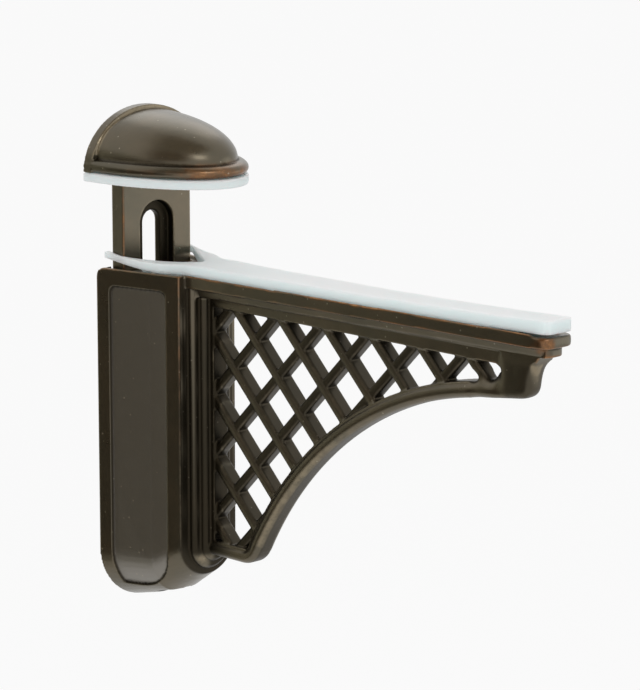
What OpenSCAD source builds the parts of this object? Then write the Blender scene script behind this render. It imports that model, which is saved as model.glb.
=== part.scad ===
// Adjustable clamp bracket for a shelf: a wall jaw with a slotted stem, and a lattice arm that slides on it.
// Frame: X out from the wall, Y across, Z up. The origin lies on the wall, on the middle plane,
// at the groove between the jaw's crown and its lip.

/* [Setting] */
// Opening between the two pads, as set
shelf_gap = 17.9; // [4:0.1:38]

/* [Upper jaw] */
// Half width of the jaw at the wall
jaw_half_w = 17.2; // [15:0.1:20]
// Reach of the jaw's lip from the wall
jaw_reach = 31.5; // [24:0.1:36]
// Height of the crown above the groove
crown_h = 10.2; // [8:0.1:14]
// How far the crown stands back from the lip's nose
crown_inset = 1.7; // [1:0.1:2.5]
// Width of the groove between crown and lip
groove_w = 0.4; // [0.3:0.1:1]
// Height of the lip under the groove
lip_h = 3; // [2:0.1:5]
// Thickness of the arched rim on the wall
rim_t = 2.6; // [1.5:0.1:4]
// How far the rim stands above the crown
rim_proud = 0.9; // [0.4:0.1:2]

/* [Stem] */
// Width of the stem
stem_w = 20.5; // [19:0.1:24]
// Thickness of the stem plate
stem_t = 4; // [3:0.1:5]
// Gap between the stem plate and the wall
stem_off = 1.6; // [1.2:0.1:2.5]
// Length of the stem below the groove
stem_len = 62; // [58:0.5:66]
// Width of the wide front part of the slot
slot_w = 10.1; // [8:0.1:12]
// Depth of the wide front part of the slot
slot_sink = 2; // [1:0.1:2.5]
// Width of the narrow slot for the wall screw
screw_slot_w = 5.2; // [4.2:0.1:6]
// Upper end of the wide slot below the groove
slot_top = 10.7; // [9:0.1:14]
// Length of the wide slot
slot_len = 38; // [30:0.5:40]
// Width of each land that meets the wall
land_w = 2; // [1:0.1:2.5]
// Width of the block at the stem's foot
lug_w = 13; // [10:0.5:14]
// Height of the block at the stem's foot
lug_h = 10; // [8:0.5:12]
// Metal in front of the block's thread
lug_wall = 2.5; // [1.5:0.1:3]

/* [Clamp screw] */
// Diameter of the clamp screw
screw_d = 6; // [5:0.5:6]
// Length of the shank
screw_len = 50; // [46:0.5:54]
// Depth of the screw's seat below the column's top
seat_drop = 57.5; // [57:0.1:59]
// Thickness of the seat
seat_t = 4; // [3:0.1:4.5]
// Distance of the screw's axis from the wall
screw_x = 12; // [11.6:0.1:12.4]
// Diameter of the screw head
head_d = 10; // [8:0.5:10.5]
// Height of the screw head
head_h = 5; // [4:0.1:6]
// Width of the hexagon socket across its flats
socket_w = 5; // [3:0.5:5]
// Depth of the hexagon socket
socket_depth = 3; // [2:0.1:3.5]
// Diameter of the washer under the head
washer_d = 11.5; // [11:0.1:12]
// Thickness of the washer
washer_t = 1.2; // [0.8:0.1:2]
// Diameter of the hole for the hexagon key
key_d = 6.4; // [6:0.1:8]

/* [Column] */
// Depth of the column from the wall
column_depth = 22.4; // [22:0.1:25]
// Height of the column down to the start of its rounded end
column_h = 65.6; // [63:0.1:70]
// Inward slope of the column's sides
draft = 13; // [11:0.5:14]
// Wall thickness of the column
wall = 1.9; // [1.6:0.1:2.3]
// How far each keeper laps behind the stem's edge
keeper_lap = 3; // [2:0.1:3.5]
// Thickness of the column's top plate
top_t = 2.5; // [2:0.1:3.5]
// Radius of the top edge at the wall
top_round = 2; // [1:0.1:2.5]
// Distance from the wall at which the column's lower end starts to rise
bowl_x = 14; // [13.5:0.1:16]
// Rise of the column's lower end at its front
bowl_rise = 3.8; // [2:0.1:4.2]
// Depth of the sunk panel in each side
panel_sink = 0.6; // [0.4:0.1:1.1]
// Distance of the panel from the wall
panel_x = 3.5; // [2.5:0.1:5]
// Length of the panel out from the wall
panel_len = 15.1; // [12:0.1:16]
// Distance of the panel below the column's top
panel_drop = 3.9; // [3:0.1:6]
// Height of the panel
panel_h = 70.7; // [60:0.1:72]
// Radius of the panel's upper corners
panel_round = 1.5; // [0.5:0.1:3]
// Radius of the panel's lower front corner
panel_low_round = 11; // [6:0.1:12]

/* [Front mouldings] */
// Half width of the first moulding
step_one_w = 5.9; // [5.5:0.1:7]
// How far the first moulding stands out
step_one_x = 1.7; // [1:0.1:2.2]
// Half width of the second moulding
step_two_w = 3.9; // [3:0.1:4.5]
// How far the second moulding stands out from the first
step_two_x = 1.5; // [1:0.1:2]
// Sloped edge of each moulding
step_slope = 0.8; // [0.3:0.1:0.9]
// How much higher the mouldings end than the column's straight sides
step_rise = 2.6; // [1:0.1:4]

/* [Arm] */
// Reach of the arm from the wall
arm_reach = 130; // [120:0.5:140]
// Half width of the arm's top at the column
arm_root_w = 6.6; // [5.8:0.1:7]
// Half width of the arm's top at the tip
arm_tip_w = 4.7; // [4.4:0.1:5.2]
// Rise of the arm's top at the tip
tip_rise = 1; // [0:0.1:1.5]
// Height of the top band
band_h = 2.9; // [2:0.1:3.5]
// Height of the second band
second_h = 2.1; // [1.5:0.1:3]
// How far the second band stands back
second_inset = 1.4; // [0.8:0.1:1.8]
// Height of the rail over the lattice
rail_h = 2.2; // [1.5:0.1:3]
// Thickness of the arm's web
web_t = 4.4; // [3.8:0.1:5]
// Radius of the arch under the arm
arch_r = 89; // [86:0.5:91]
// How far the arch's centre lies back from the tip
arch_back = 10; // [8.5:0.1:12]
// Height from the arm's top down to the crown of the arch
arch_drop = 14.6; // [14.2:0.1:16]
// Width of the roll along the arch
roll_w = 3.3; // [2.6:0.1:4]
// Thickness of the roll along the arch
roll_t = 5.8; // [5.2:0.1:6.5]
// Depth of the arm's foot below the column's top
foot_drop = 65.1; // [63:0.1:67]
// Radius at the arm's foot
foot_r = 6; // [5:0.1:7]
// Depth of the tip block below the column's top
tip_drop = 13.9; // [13:0.1:14.2]
// How far the tip block stands back from the tip
tip_back = 2.6; // [2.4:0.1:6.5]
// How far the tip block's front curves back
tip_lean = 4; // [1:0.1:5]
// Radius of the tip block's lower corner
tip_r = 3; // [1.5:0.1:3.5]
// Thickness of the tip block
tip_t = 5; // [4.8:0.1:5.4]
// Radius of the bands' corners at the tip
tip_corner = 2.5; // [0.8:0.1:2.5]

/* [Lattice] */
// Diagonal of the lattice's squares
diamond = 14.4; // [12:0.1:17]
// Width of the lattice bars
bar_w = 2.4; // [1.8:0.1:3]
// Depth of the bars that run up and out
bar_depth = 3.8; // [3:0.1:3.8]
// How much shallower the crossing bars are
bar_step = 0.5; // [0.2:0.1:0.8]
// Sloped edge of the bars
bar_slope = 0.45; // [0.2:0.05:0.6]
// Distance of the first column of crossings from the wall
lattice_x = 32.6; // [30:0.1:36]
// Depth of the first row of crossings below the column's top
lattice_drop = 13.1; // [11:0.1:15]
// Width of the stile between mouldings and lattice
stile_w = 1.2; // [0.6:0.1:2.5]

/* [Pads] */
// Thickness of the upper pad
upper_pad_t = 2.1; // [1.5:0.1:3]
// Height of the lower pad above the arm's top
lower_pad_t = 2.2; // [1.5:0.1:3]
// Depth of the bed that the lower pad lies in
bed_sink = 0.7; // [0.4:0.1:1]
// How far the lower pad stays inside the column's edge
pad_inset = 1.2; // [0.6:0.1:1.6]
// How far the lower pad stays inside the arm's edge
arm_pad_inset = 0.7; // [0.6:0.1:1.2]
// Radius of the lower pad's corners at the tip
pad_tip_r = 1.6; // [0.5:0.1:2.6]
// Length over which the lower pad narrows from the column to the arm
pad_neck = 7; // [4:0.5:9]
// Reach of the lower pad's notch from the wall
notch_x = 20.5; // [14:0.1:22]
// Radius of the notch's front
notch_r = 2; // [1:0.1:3]
// Radius of the locating pips under the lower pad
pip_r = 1; // [0.6:0.1:1.2]
// Length of the locating pips
pip_h = 0.9; // [0.5:0.1:1.2]
// Distance of the rear pips from the wall
pip_x = 11.5; // [10:0.1:14]
// How far the rear pips stay inside the pad's edge
pip_inset = 1.6; // [1.4:0.1:2.2]
// Distance of the front pip from the tip
pip_tip = 10; // [8:0.5:20]

/* [Fit] */
// Gap between sliding faces
slide_gap = 0.3; // [0.2:0.05:0.4]
// Radial gap of the screw in its thread
thread_gap = 0.05; // [0.02:0.01:0.1]
// Radial gap of the screw in its seat and washer
bore_gap = 0.3; // [0.2:0.05:0.5]
// Gap round the lower pad and its pips
pad_gap = 0.2; // [0.1:0.05:0.3]

/* [Hidden] */
$fn = 64;
// Overshoot of cutting shapes past the faces that they open
cut = 1;
// Overlap that joins the lattice bars to their frame
bond = 0.6;
// How much slimmer a form is that starts inside another
slim = 0.05;
// How far the column's front part starts inside its rear part
form_lap = 0.2;
// Turn of the foot's roll into the arch's roll
lap_turn = 2;
// Angle at which the arch's roll ends in the tip block
roll_end = 94.5;
// How far the tip block's underside starts before the opening's end
tip_start = 5;
// Web left bare beside the roll, inside the opening
roll_bed = 0.3;
// How far the opening ends before the arch's crown
opening_back = 5;
// Radius of the opening's upper corner at the tip
opening_corner = 1.6;
// Steps of curved outlines
steps = 16;
// Size of shapes that only bound others
far = 300;
// Part of the screw's radius that its lead-in takes off
lead_part = 0.25;
bronze = [0.24, 0.20, 0.16];
silicone = [0.80, 0.84, 0.86, 0.7];
steel = [0.45, 0.44, 0.42];

// Heights, from the groove down
jaw_under = -lip_h;
shelf_top = jaw_under - upper_pad_t;
seat = shelf_top - shelf_gap;
arm_top = seat - lower_pad_t;

// Stem and what it runs in
stem_front = stem_off + stem_t;
stem_half = stem_w / 2;
slope = tan(draft);
skin = wall / cos(draft);
column_half_w = stem_half + slide_gap + skin + slope * stem_front;
front_x = bowl_x - form_lap;
bowl_slope = bowl_rise / (column_depth - front_x);
keeper_t = stem_off - slide_gap;
keeper_half = stem_half - keeper_lap;
land_out = keeper_half - 2 * slide_gap;
lug_x = screw_x + screw_d / 2 + lug_wall;

// Clamp screw, from the arm's top down
screw_r = screw_d / 2;
screw_seat = -seat_drop;
head_top = screw_seat - washer_t;

// Arm
rail_low = -band_h - second_h - rail_h;
arch_x = arm_reach - arch_back;
arch_z = -arch_drop - arch_r;
opening_r = arch_r + roll_w + roll_bed;
opening_x = arch_x - opening_back;
opening_low = -foot_drop + roll_w + roll_bed;
stile_x = column_depth + step_one_x + step_two_x + stile_w;
tip_front_x = arm_reach - tip_back;
slope_up = tip_rise / (arm_reach - column_depth);

// Half width of the column at a distance from the wall
function column_w(x) = column_half_w - slope * x;

// Half width of the arm's top at a distance from the wall
function arm_w(x) =
    arm_tip_w + (arm_root_w - arm_tip_w) * pow((arm_reach - x) / (arm_reach - column_depth), 2);

// Height of the arch, drawn with a given radius, at a distance from the wall
function arch_at(x, r) = arch_z + sqrt(pow(r, 2) - pow(x - arch_x, 2));

// One side of the arm's plan up to its rounded corner at the tip
function arm_side(x0, reach, inset, r) = concat(
    [for (i = [0:steps]) let(x = x0 + (reach - r - x0) * i / steps) [x, arm_w(x) - inset]],
    arc([reach - r, arm_w(reach - r) - inset - r], r, 90, 0, steps)
);

// The same points on the other side, in reverse
function other_side(points) = [for (i = [len(points) - 1:-1:0]) [points[i][0], -points[i][1]]];

// Points of an arc in the plane
function arc(centre, r, from, to, steps) =
    [for (i = [0:steps]) let(turn = from + (to - from) * i / steps) centre + r * [cos(turn), sin(turn)]];

// Points of an upright ellipse from one angle to another
function oval(a, b, from, to, steps) =
    [for (i = [0:steps]) let(turn = from + (to - from) * i / steps) [a * cos(turn), b * sin(turn)]];

// Prism with a half round lower end, whose width changes along X
module tapered_u(x0, x1, w0, w1, top, spring) {
    translate([0, 0, spring])
        linear_extrude(top - spring)
            polygon([[x0, -w0], [x1, -w1], [x1, w1], [x0, w0]]);
    translate([x0, 0, spring])
        rotate([0, 90, 0])
            cylinder(h = x1 - x0, r1 = w0, r2 = w1);
}

// Shape drawn in X and Z, given a thickness across Y
module across(t) {
    rotate([90, 0, 0])
        linear_extrude(t, center = true)
            children();
}

// Round bar across Y
module across_rod(x, z, r, t) {
    translate([x, 0, z])
        rotate([90, 0, 0])
            cylinder(h = t, r = r, center = true);
}

// Slot along Z with round ends, cut along X
module slot_cut(x0, x1, w, top, bottom) {
    translate([x0, -w / 2, bottom + w / 2])
        cube([x1 - x0, w, top - bottom - w]);
    for (z = [bottom + w / 2, top - w / 2])
        translate([x0, 0, z])
            rotate([0, 90, 0])
                cylinder(h = x1 - x0, d = w);
}

// Upper jaw

// Section of crown, groove and lip, from the axis out
module crown_section() {
    crown_w = jaw_half_w - crown_inset;
    nose = lip_h / 2;
    dome = [for (p = oval(crown_w, crown_h - groove_w, 0, 90, 14)) p + [0, groove_w]];
    lip = arc([jaw_half_w - nose, -nose], nose, -90, 90, 8);
    polygon(concat([[0, -lip_h]], lip, [[crown_w - groove_w, 0], [crown_w - groove_w, groove_w]], dome));
}

// Crown and lip with an oval plan, cut off at the wall
module crown() {
    intersection() {
        scale([jaw_reach / jaw_half_w, 1, 1])
            rotate_extrude($fn = 72)
                crown_section();
        translate([0, -far / 2, -far / 2])
            cube([far, far, far]);
    }
}

// Arched rim that lies on the wall
module rim() {
    rise = crown_h + rim_proud + lip_h;
    translate([0, 0, jaw_under])
        rotate([90, 0, 90])
            linear_extrude(rim_t)
                polygon(oval(jaw_half_w, rise, 0, 180, 40));
}

// Slotted stem with two lands on the wall and a tapped block at its foot
module stem() {
    translate([stem_off, -stem_half, -stem_len])
        cube([stem_t, stem_w, stem_len]);
    for (side = [-1, 1])
        translate([0, side * (land_out - land_w / 2) - land_w / 2, -stem_len])
            cube([stem_off + cut, land_w, stem_len]);
    translate([stem_off, -lug_w / 2, -stem_len])
        cube([lug_x - stem_off, lug_w, lug_h]);
}

module upper_jaw() {
    color(bronze)
        difference() {
            union() {
                crown();
                rim();
                stem();
            }
            slot_cut(stem_front - slot_sink, stem_front + cut, slot_w, -slot_top, -slot_top - slot_len);
            inner_top = -slot_top - (slot_w - screw_slot_w) / 2;
            inner_len = slot_len - slot_w + screw_slot_w;
            slot_cut(stem_off - cut, stem_front, screw_slot_w, inner_top, inner_top - inner_len);
            translate([screw_x, 0, -stem_len - cut])
                cylinder(h = lug_h + 2 * cut, r = screw_r + thread_gap);
        }
}

module upper_pad() {
    plan = oval(jaw_reach, jaw_half_w, -90, 90, 40);
    color(silicone)
        translate([0, 0, shelf_top])
            difference() {
                linear_extrude(upper_pad_t)
                    polygon(plan);
                translate([-cut, -stem_half - slide_gap, -cut])
                    cube([stem_front + slide_gap + cut, stem_w + 2 * slide_gap, upper_pad_t + 2 * cut]);
            }
}

// Lattice arm, drawn with the column's top at zero

// Form of the column between two distances from the wall, with its rising lower end, less a margin all round
module column_form(x0, x1, less, top) {
    slimmer = less + slim;
    tapered_u(x0, bowl_x, column_w(x0) - less, column_w(bowl_x) - less, top, -column_h);
    intersection() {
        multmatrix([[1, 0, 0, 0], [0, 1, 0, 0], [bowl_slope, 0, 1, -bowl_slope * front_x], [0, 0, 0, 1]])
            tapered_u(front_x, x1, column_w(front_x) - slimmer, column_w(x1) - slimmer, top, -column_h);
        translate([-far / 2, -far / 2, top - far])
            cube([far, far, far]);
    }
}

// Hollow column with keepers behind the stem's edges
module column() {
    difference() {
        column_form(0, column_depth, 0, 0);
        column_form(keeper_t, column_depth - wall, skin, -top_t);
        tapered_u(-cut, keeper_t + cut, keeper_half, keeper_half, -top_t, -column_h);
    }
}

// Outline of the sunk side panel
module panel_outline() {
    right = panel_x + panel_len;
    top = -panel_drop;
    bottom = -panel_drop - panel_h;
    lower = arc([right - panel_low_round, bottom + panel_low_round], panel_low_round, -90, 0, 12);
    upper = arc([right - panel_round, top - panel_round], panel_round, 0, 90, 4);
    rear = arc([panel_x + panel_round, top - panel_round], panel_round, 90, 180, 4);
    polygon(concat([[panel_x, bottom]], lower, upper, rear));
}

// What is taken off both sides of the column for the panels
module panels() {
    intersection() {
        difference() {
            column_form(0, column_depth, -cut, 0);
            column_form(0, column_depth, panel_sink, 0);
        }
        across(far)
            panel_outline();
    }
}

// One front moulding with a sloped edge
module moulding(x1, w) {
    spring = step_rise - column_h;
    tapered_u(column_depth - wall, x1 - step_slope, w, w, 0, spring);
    tapered_u(x1 - step_slope, x1, w, w - step_slope, 0, spring);
}

module mouldings() {
    moulding(column_depth + step_one_x, step_one_w);
    moulding(column_depth + step_one_x + step_two_x, step_two_w);
}

// A band along the arm's top: its plan from above, its rise from the side
module band(top, bottom, inset, reach) {
    x0 = column_depth - wall;
    side = arm_side(x0, reach, inset, tip_corner);
    intersection() {
        translate([0, 0, -far / 2])
            linear_extrude(far)
                polygon(concat(side, other_side(side)));
        across(far)
            polygon([
                [x0, bottom], [column_depth, bottom], [reach, bottom + slope_up * (reach - column_depth)],
                [reach, top + slope_up * (reach - column_depth)], [column_depth, top], [x0, top]
            ]);
    }
}

// Opening of the web that the lattice fills, grown by a margin
module opening(margin) {
    x0 = stile_x - margin;
    x1 = opening_x + margin;
    top = rail_low + margin;
    low = opening_low - margin;
    corner = arc([x1 - opening_corner, top - opening_corner], opening_corner, 0, 90, steps);
    difference() {
        across(far)
            polygon(concat([[x0, top], [x0, low], [x1, low]], corner));
        across_rod(arch_x, arch_z, opening_r - margin, 2 * far);
    }
}

// Web of the arm, with its arch, foot and open middle
module web() {
    root_x = column_depth - wall;
    foot_z = -foot_drop + foot_r;
    foot_x = arch_x - sqrt(pow(arch_r + foot_r, 2) - pow(foot_z - arch_z, 2));
    turn = atan2(arch_z - foot_z, arch_x - foot_x);
    arch_mid = arch_r + roll_w / 2;
    foot_mid = foot_r - roll_w / 2;
    under = concat(
        arc([foot_x, foot_z], foot_mid, -90, turn, steps),
        arc([arch_x, arch_z], arch_mid, 180 + turn, 90, 3 * steps)
    );
    difference() {
        across(web_t)
            polygon(concat([[root_x, -band_h], [root_x, foot_z - foot_mid]], under, [[arch_x, -band_h]]));
        opening(0);
    }
    roll(arch_x, arch_z, arch_mid, roll_end, 180 + turn, 0);
    roll(foot_x, foot_z, foot_mid, -90, turn + lap_turn, slim);
    translate([root_x, 0, foot_z - foot_mid])
        rotate([90, 0, 90])
            linear_extrude(foot_x - root_x)
                roll_section(slim);
    tip_block();
}

// Section of the roll: flat faces and round edges, all round thinner by a small amount
module roll_section(less) {
    flat = roll_t - roll_w;
    height = roll_w - 2 * less;
    square([flat, height], center = true);
    for (side = [-1, 1])
        translate([side * flat / 2, 0])
            circle(d = height);
}

// Roll bent round a centre, from one angle to another
module roll(x, z, r, from, to, less) {
    translate([x, 0, z])
        rotate([90, 0, 0])
            rotate([0, 0, from])
                rotate_extrude(angle = to - from)
                    translate([r, 0])
                        rotate([0, 0, 90])
                            roll_section(less);
}

// Rounded block under the tip
module tip_block() {
    x0 = opening_x + roll_bed;
    low_x = opening_x - tip_start;
    mid_r = arch_r + roll_w / 2;
    nose = arc([tip_front_x - tip_lean - tip_r, tip_r - tip_drop], tip_r, -90, 0, steps);
    front_h = tip_drop - tip_r - band_h;
    front = [for (i = [1:steps])
        [tip_front_x - tip_lean * (1 - pow(i / steps, 2)), -band_h - front_h * (1 - i / steps)]];
    across(tip_t)
        polygon(concat(
            [[x0, -band_h], [x0, arch_at(x0, mid_r)]],
            [[low_x, arch_at(low_x, mid_r)], [low_x, arch_at(low_x, arch_r)]],
            nose, front
        ));
}

// One lattice bar through the first crossing, moved along its row
module bar(shift, tilt, depth) {
    half = bar_w / 2;
    flat = depth / 2;
    thin = half - bar_slope;
    translate([lattice_x + shift, 0, -lattice_drop])
        rotate([0, tilt, 0])
            linear_extrude(far, center = true)
                polygon([
                    [-thin, -flat], [thin, -flat], [half, bar_slope - flat], [half, flat - bar_slope],
                    [thin, flat], [-thin, flat], [-half, flat - bar_slope], [-half, bar_slope - flat]
                ]);
}

// Crossed bars, cut to the opening
module lattice() {
    width = arch_x - stile_x;
    height = foot_drop + rail_low;
    first = floor(-height / diamond) - 1;
    last = ceil(width / diamond) + 1;
    intersection() {
        opening(bond);
        union() {
            for (i = [first:last])
                bar((i + 0.5) * diamond, -45, bar_depth);
            for (i = [-2:last])
                bar((i + 0.5) * diamond, 45, bar_depth - bar_step);
        }
    }
}

// Shelf across the hollow column that the screw's washer bears on
module screw_shelf() {
    x1 = column_depth - wall / 2;
    margin = skin / 2;
    translate([0, 0, screw_seat])
        linear_extrude(seat_t)
            polygon([
                [keeper_t / 2, margin - column_w(keeper_t / 2)], [x1, margin - column_w(x1)],
                [x1, column_w(x1) - margin], [keeper_t / 2, column_w(keeper_t / 2) - margin]
            ]);
}

// Places of the pips under the lower pad
pip_y = column_w(pip_x) - pad_inset - pip_inset;
pip_places = [
    [pip_x, -pip_y, -bed_sink], [pip_x, pip_y, -bed_sink], [arm_reach - pip_tip, 0, tip_rise - bed_sink]
];

module lattice_arm() {
    color(bronze)
        translate([0, 0, arm_top])
            difference() {
                union() {
                    column();
                    screw_shelf();
                    mouldings();
                    band(0, -band_h, 0, arm_reach);
                    band(-band_h / 2, -band_h - second_h, second_inset, arm_reach - second_inset);
                    web();
                    lattice();
                }
                panels();
                stem_window();
                top_edge();
                translate([screw_x, 0, -far])
                    cylinder(h = far - column_h, d = key_d);
                translate([screw_x, 0, screw_seat - cut])
                    cylinder(h = seat_t + 2 * cut, r = screw_r + bore_gap);
                translate([0, 0, -bed_sink])
                    pad_body(pad_gap);
                for (place = pip_places)
                    translate(place - [0, 0, pip_h + pad_gap])
                        cylinder(h = far, r = pip_r + pad_gap);
            }
}

// Way for the stem through the column's top
module stem_window() {
    translate([-cut, -stem_half - slide_gap, -top_t - cut])
        cube([stem_front + slide_gap + cut, stem_w + 2 * slide_gap, top_t + 2 * cut]);
}

// What rounds the column's top edge at the wall
module top_edge() {
    difference() {
        translate([-cut, -far / 2, -top_round])
            cube([top_round + cut, far, top_round + cut]);
        across_rod(top_round, -top_round, top_round, 2 * far);
    }
}

// Half width of the lower pad at a part of the way along its neck, from 0 at the column to 1 at the arm
function neck_w(x, part) =
    let(ease = pow(part, 2) * (3 - 2 * part))
    (1 - ease) * (column_w(x) - pad_inset) + ease * (arm_w(x) - arm_pad_inset);

// Plan of the lower pad, grown all round by a margin
module pad_plan(margin) {
    x0 = column_depth - pad_neck;
    neck = [for (i = [0:steps - 1]) let(x = x0 + pad_neck * i / steps) [x, neck_w(x, i / steps) + margin]];
    strip = arm_side(column_depth, arm_reach - arm_pad_inset + margin, arm_pad_inset - margin, pad_tip_r);
    side = concat([[0, neck_w(0, 0) + margin]], neck, strip);
    polygon(concat(side, other_side(side)));
}

// Rise of the lower pad, seen from the side
module pad_side(margin) {
    t = lower_pad_t + bed_sink;
    polygon([
        [top_round - margin, 0], [column_depth, 0], [arm_reach, tip_rise],
        [arm_reach, tip_rise + t], [column_depth, t], [top_round - margin, t]
    ]);
}

// Notch of the lower pad: round the stem, then narrowing to a round front
module pad_notch() {
    x0 = stem_front + slide_gap;
    half = stem_half + slide_gap;
    run = notch_x - notch_r - x0;
    turn = 90 - atan2(half, run) + asin(notch_r / sqrt(pow(run, 2) + pow(half, 2)));
    front = arc([notch_x - notch_r, 0], notch_r, -turn, turn, steps);
    polygon(concat([[-cut, half], [-cut, -half], [x0, -half]], front, [[x0, half]]));
}

// The lower pad without its pips and its notch, grown all round by a margin
module pad_body(margin) {
    intersection() {
        translate([0, 0, -cut])
            linear_extrude(far)
                pad_plan(margin);
        across(far)
            pad_side(margin);
    }
}

module lower_pad() {
    color(silicone)
        translate([0, 0, arm_top]) {
            difference() {
                translate([0, 0, -bed_sink])
                    pad_body(0);
                translate([0, 0, -far / 2])
                    linear_extrude(far)
                        pad_notch();
            }
            for (place = pip_places)
                translate(place - [0, 0, pip_h])
                    cylinder(h = pip_h + lower_pad_t / 2, r = pip_r);
        }
}

// Washer between the screw head and its seat
module clamp_washer() {
    color(steel)
        translate([screw_x, 0, arm_top + head_top])
            difference() {
                cylinder(h = washer_t, d = washer_d);
                translate([0, 0, -cut])
                    cylinder(h = washer_t + 2 * cut, r = screw_r + bore_gap);
            }
}

// Socket screw that draws the arm up to the jaw
module clamp_screw() {
    lead_in = screw_r * lead_part;
    color(steel)
        translate([screw_x, 0, arm_top + head_top]) {
            cylinder(h = screw_len - lead_in, r = screw_r);
            translate([0, 0, screw_len - lead_in])
                cylinder(h = lead_in, r1 = screw_r, r2 = screw_r - lead_in);
            translate([0, 0, -head_h])
                difference() {
                    cylinder(h = head_h, d = head_d);
                    translate([0, 0, -cut])
                        cylinder(h = socket_depth + cut, d = socket_w / cos(30), $fn = 6);
                }
        }
}

upper_jaw();
upper_pad();
lattice_arm();
lower_pad();
clamp_washer();
clamp_screw();
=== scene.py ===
"""Adjustable shelf bracket: a domed wall jaw with a slotted stem, a lattice arm that slides on it, two silicone pads
and the clamp screw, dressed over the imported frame. Metres; X out from the wall, Y across, Z up."""

import logging
import math
from dataclasses import dataclass
from enum import Enum
from typing import Any, Callable, Optional, Sequence, Union

import bmesh
import bpy
import numpy as np
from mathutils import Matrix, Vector


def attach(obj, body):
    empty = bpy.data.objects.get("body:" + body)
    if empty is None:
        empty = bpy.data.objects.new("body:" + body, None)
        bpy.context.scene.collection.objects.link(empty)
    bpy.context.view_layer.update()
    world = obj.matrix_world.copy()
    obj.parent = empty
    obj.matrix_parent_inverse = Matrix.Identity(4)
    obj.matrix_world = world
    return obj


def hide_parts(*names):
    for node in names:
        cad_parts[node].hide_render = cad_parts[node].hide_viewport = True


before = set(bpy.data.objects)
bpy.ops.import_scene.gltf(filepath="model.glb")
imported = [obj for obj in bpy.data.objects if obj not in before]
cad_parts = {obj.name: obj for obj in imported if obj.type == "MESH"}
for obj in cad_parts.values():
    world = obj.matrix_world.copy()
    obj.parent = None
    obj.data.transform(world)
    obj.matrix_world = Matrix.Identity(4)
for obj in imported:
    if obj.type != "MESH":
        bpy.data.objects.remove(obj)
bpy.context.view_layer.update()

LOG = logging.getLogger("shelf_bracket")
MM = 0.001
MERGE = 1e-7
Colour = tuple[float, float, float]
Point = tuple[float, float, float]
Span = tuple[float, float]


def ramp(values: np.ndarray, start: float, run: float) -> np.ndarray:
    """Goes evenly from 0 at the start to 1 at the end of the run."""
    return np.clip((values - start) / run, 0.0, 1.0)


def soft(values: np.ndarray) -> np.ndarray:
    """Eases values between 0 and 1 at both ends."""
    return values * values * (3 - 2 * values)


class Body(Enum):
    """The bodies of the frame that a piece can ride on."""

    JAW = "wall_jaw"
    ARM = "arm"
    SCREW = "screw"


class Slot(Enum):
    """The material slots."""

    BRONZE = "bronze_casting"
    SILICONE = "silicone_pad"
    STEEL = "plated_steel"


class Field:
    """A node's socket that takes part in arithmetic; each operator adds a Math node."""

    def __init__(self, graph: "Graph", socket: bpy.types.NodeSocket) -> None:
        """Keeps the graph and its socket."""
        self.graph = graph
        self.socket = socket

    def _math(self, operation: str, first: Any, second: Any) -> "Field":
        """Adds one Math node on two values or fields."""
        return self.graph.node("ShaderNodeMath", {"operation": operation}, {0: first, 1: second})

    def __add__(self, other: Any) -> "Field":
        """Sum."""
        return self._math("ADD", self, other)

    __radd__ = __add__

    def __sub__(self, other: Any) -> "Field":
        """Difference."""
        return self._math("SUBTRACT", self, other)

    def __rsub__(self, other: Any) -> "Field":
        """Difference, reflected."""
        return self._math("SUBTRACT", other, self)

    def __mul__(self, other: Any) -> "Field":
        """Product."""
        return self._math("MULTIPLY", self, other)

    __rmul__ = __mul__

    def __truediv__(self, other: Any) -> "Field":
        """Quotient."""
        return self._math("DIVIDE", self, other)

    def __rtruediv__(self, other: Any) -> "Field":
        """Quotient, reflected."""
        return self._math("DIVIDE", other, self)

    def over(self, low: float, high: float) -> "Field":
        """Maps low to high onto 0 to 1 with soft ends."""
        settings = {"interpolation_type": "SMOOTHSTEP"}
        return self.graph.node("ShaderNodeMapRange", settings, {0: self, 1: low, 2: high, 3: 0.0, 4: 1.0})

    def most(self, other: Any) -> "Field":
        """The larger of two values."""
        return self._math("MAXIMUM", self, other)


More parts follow.
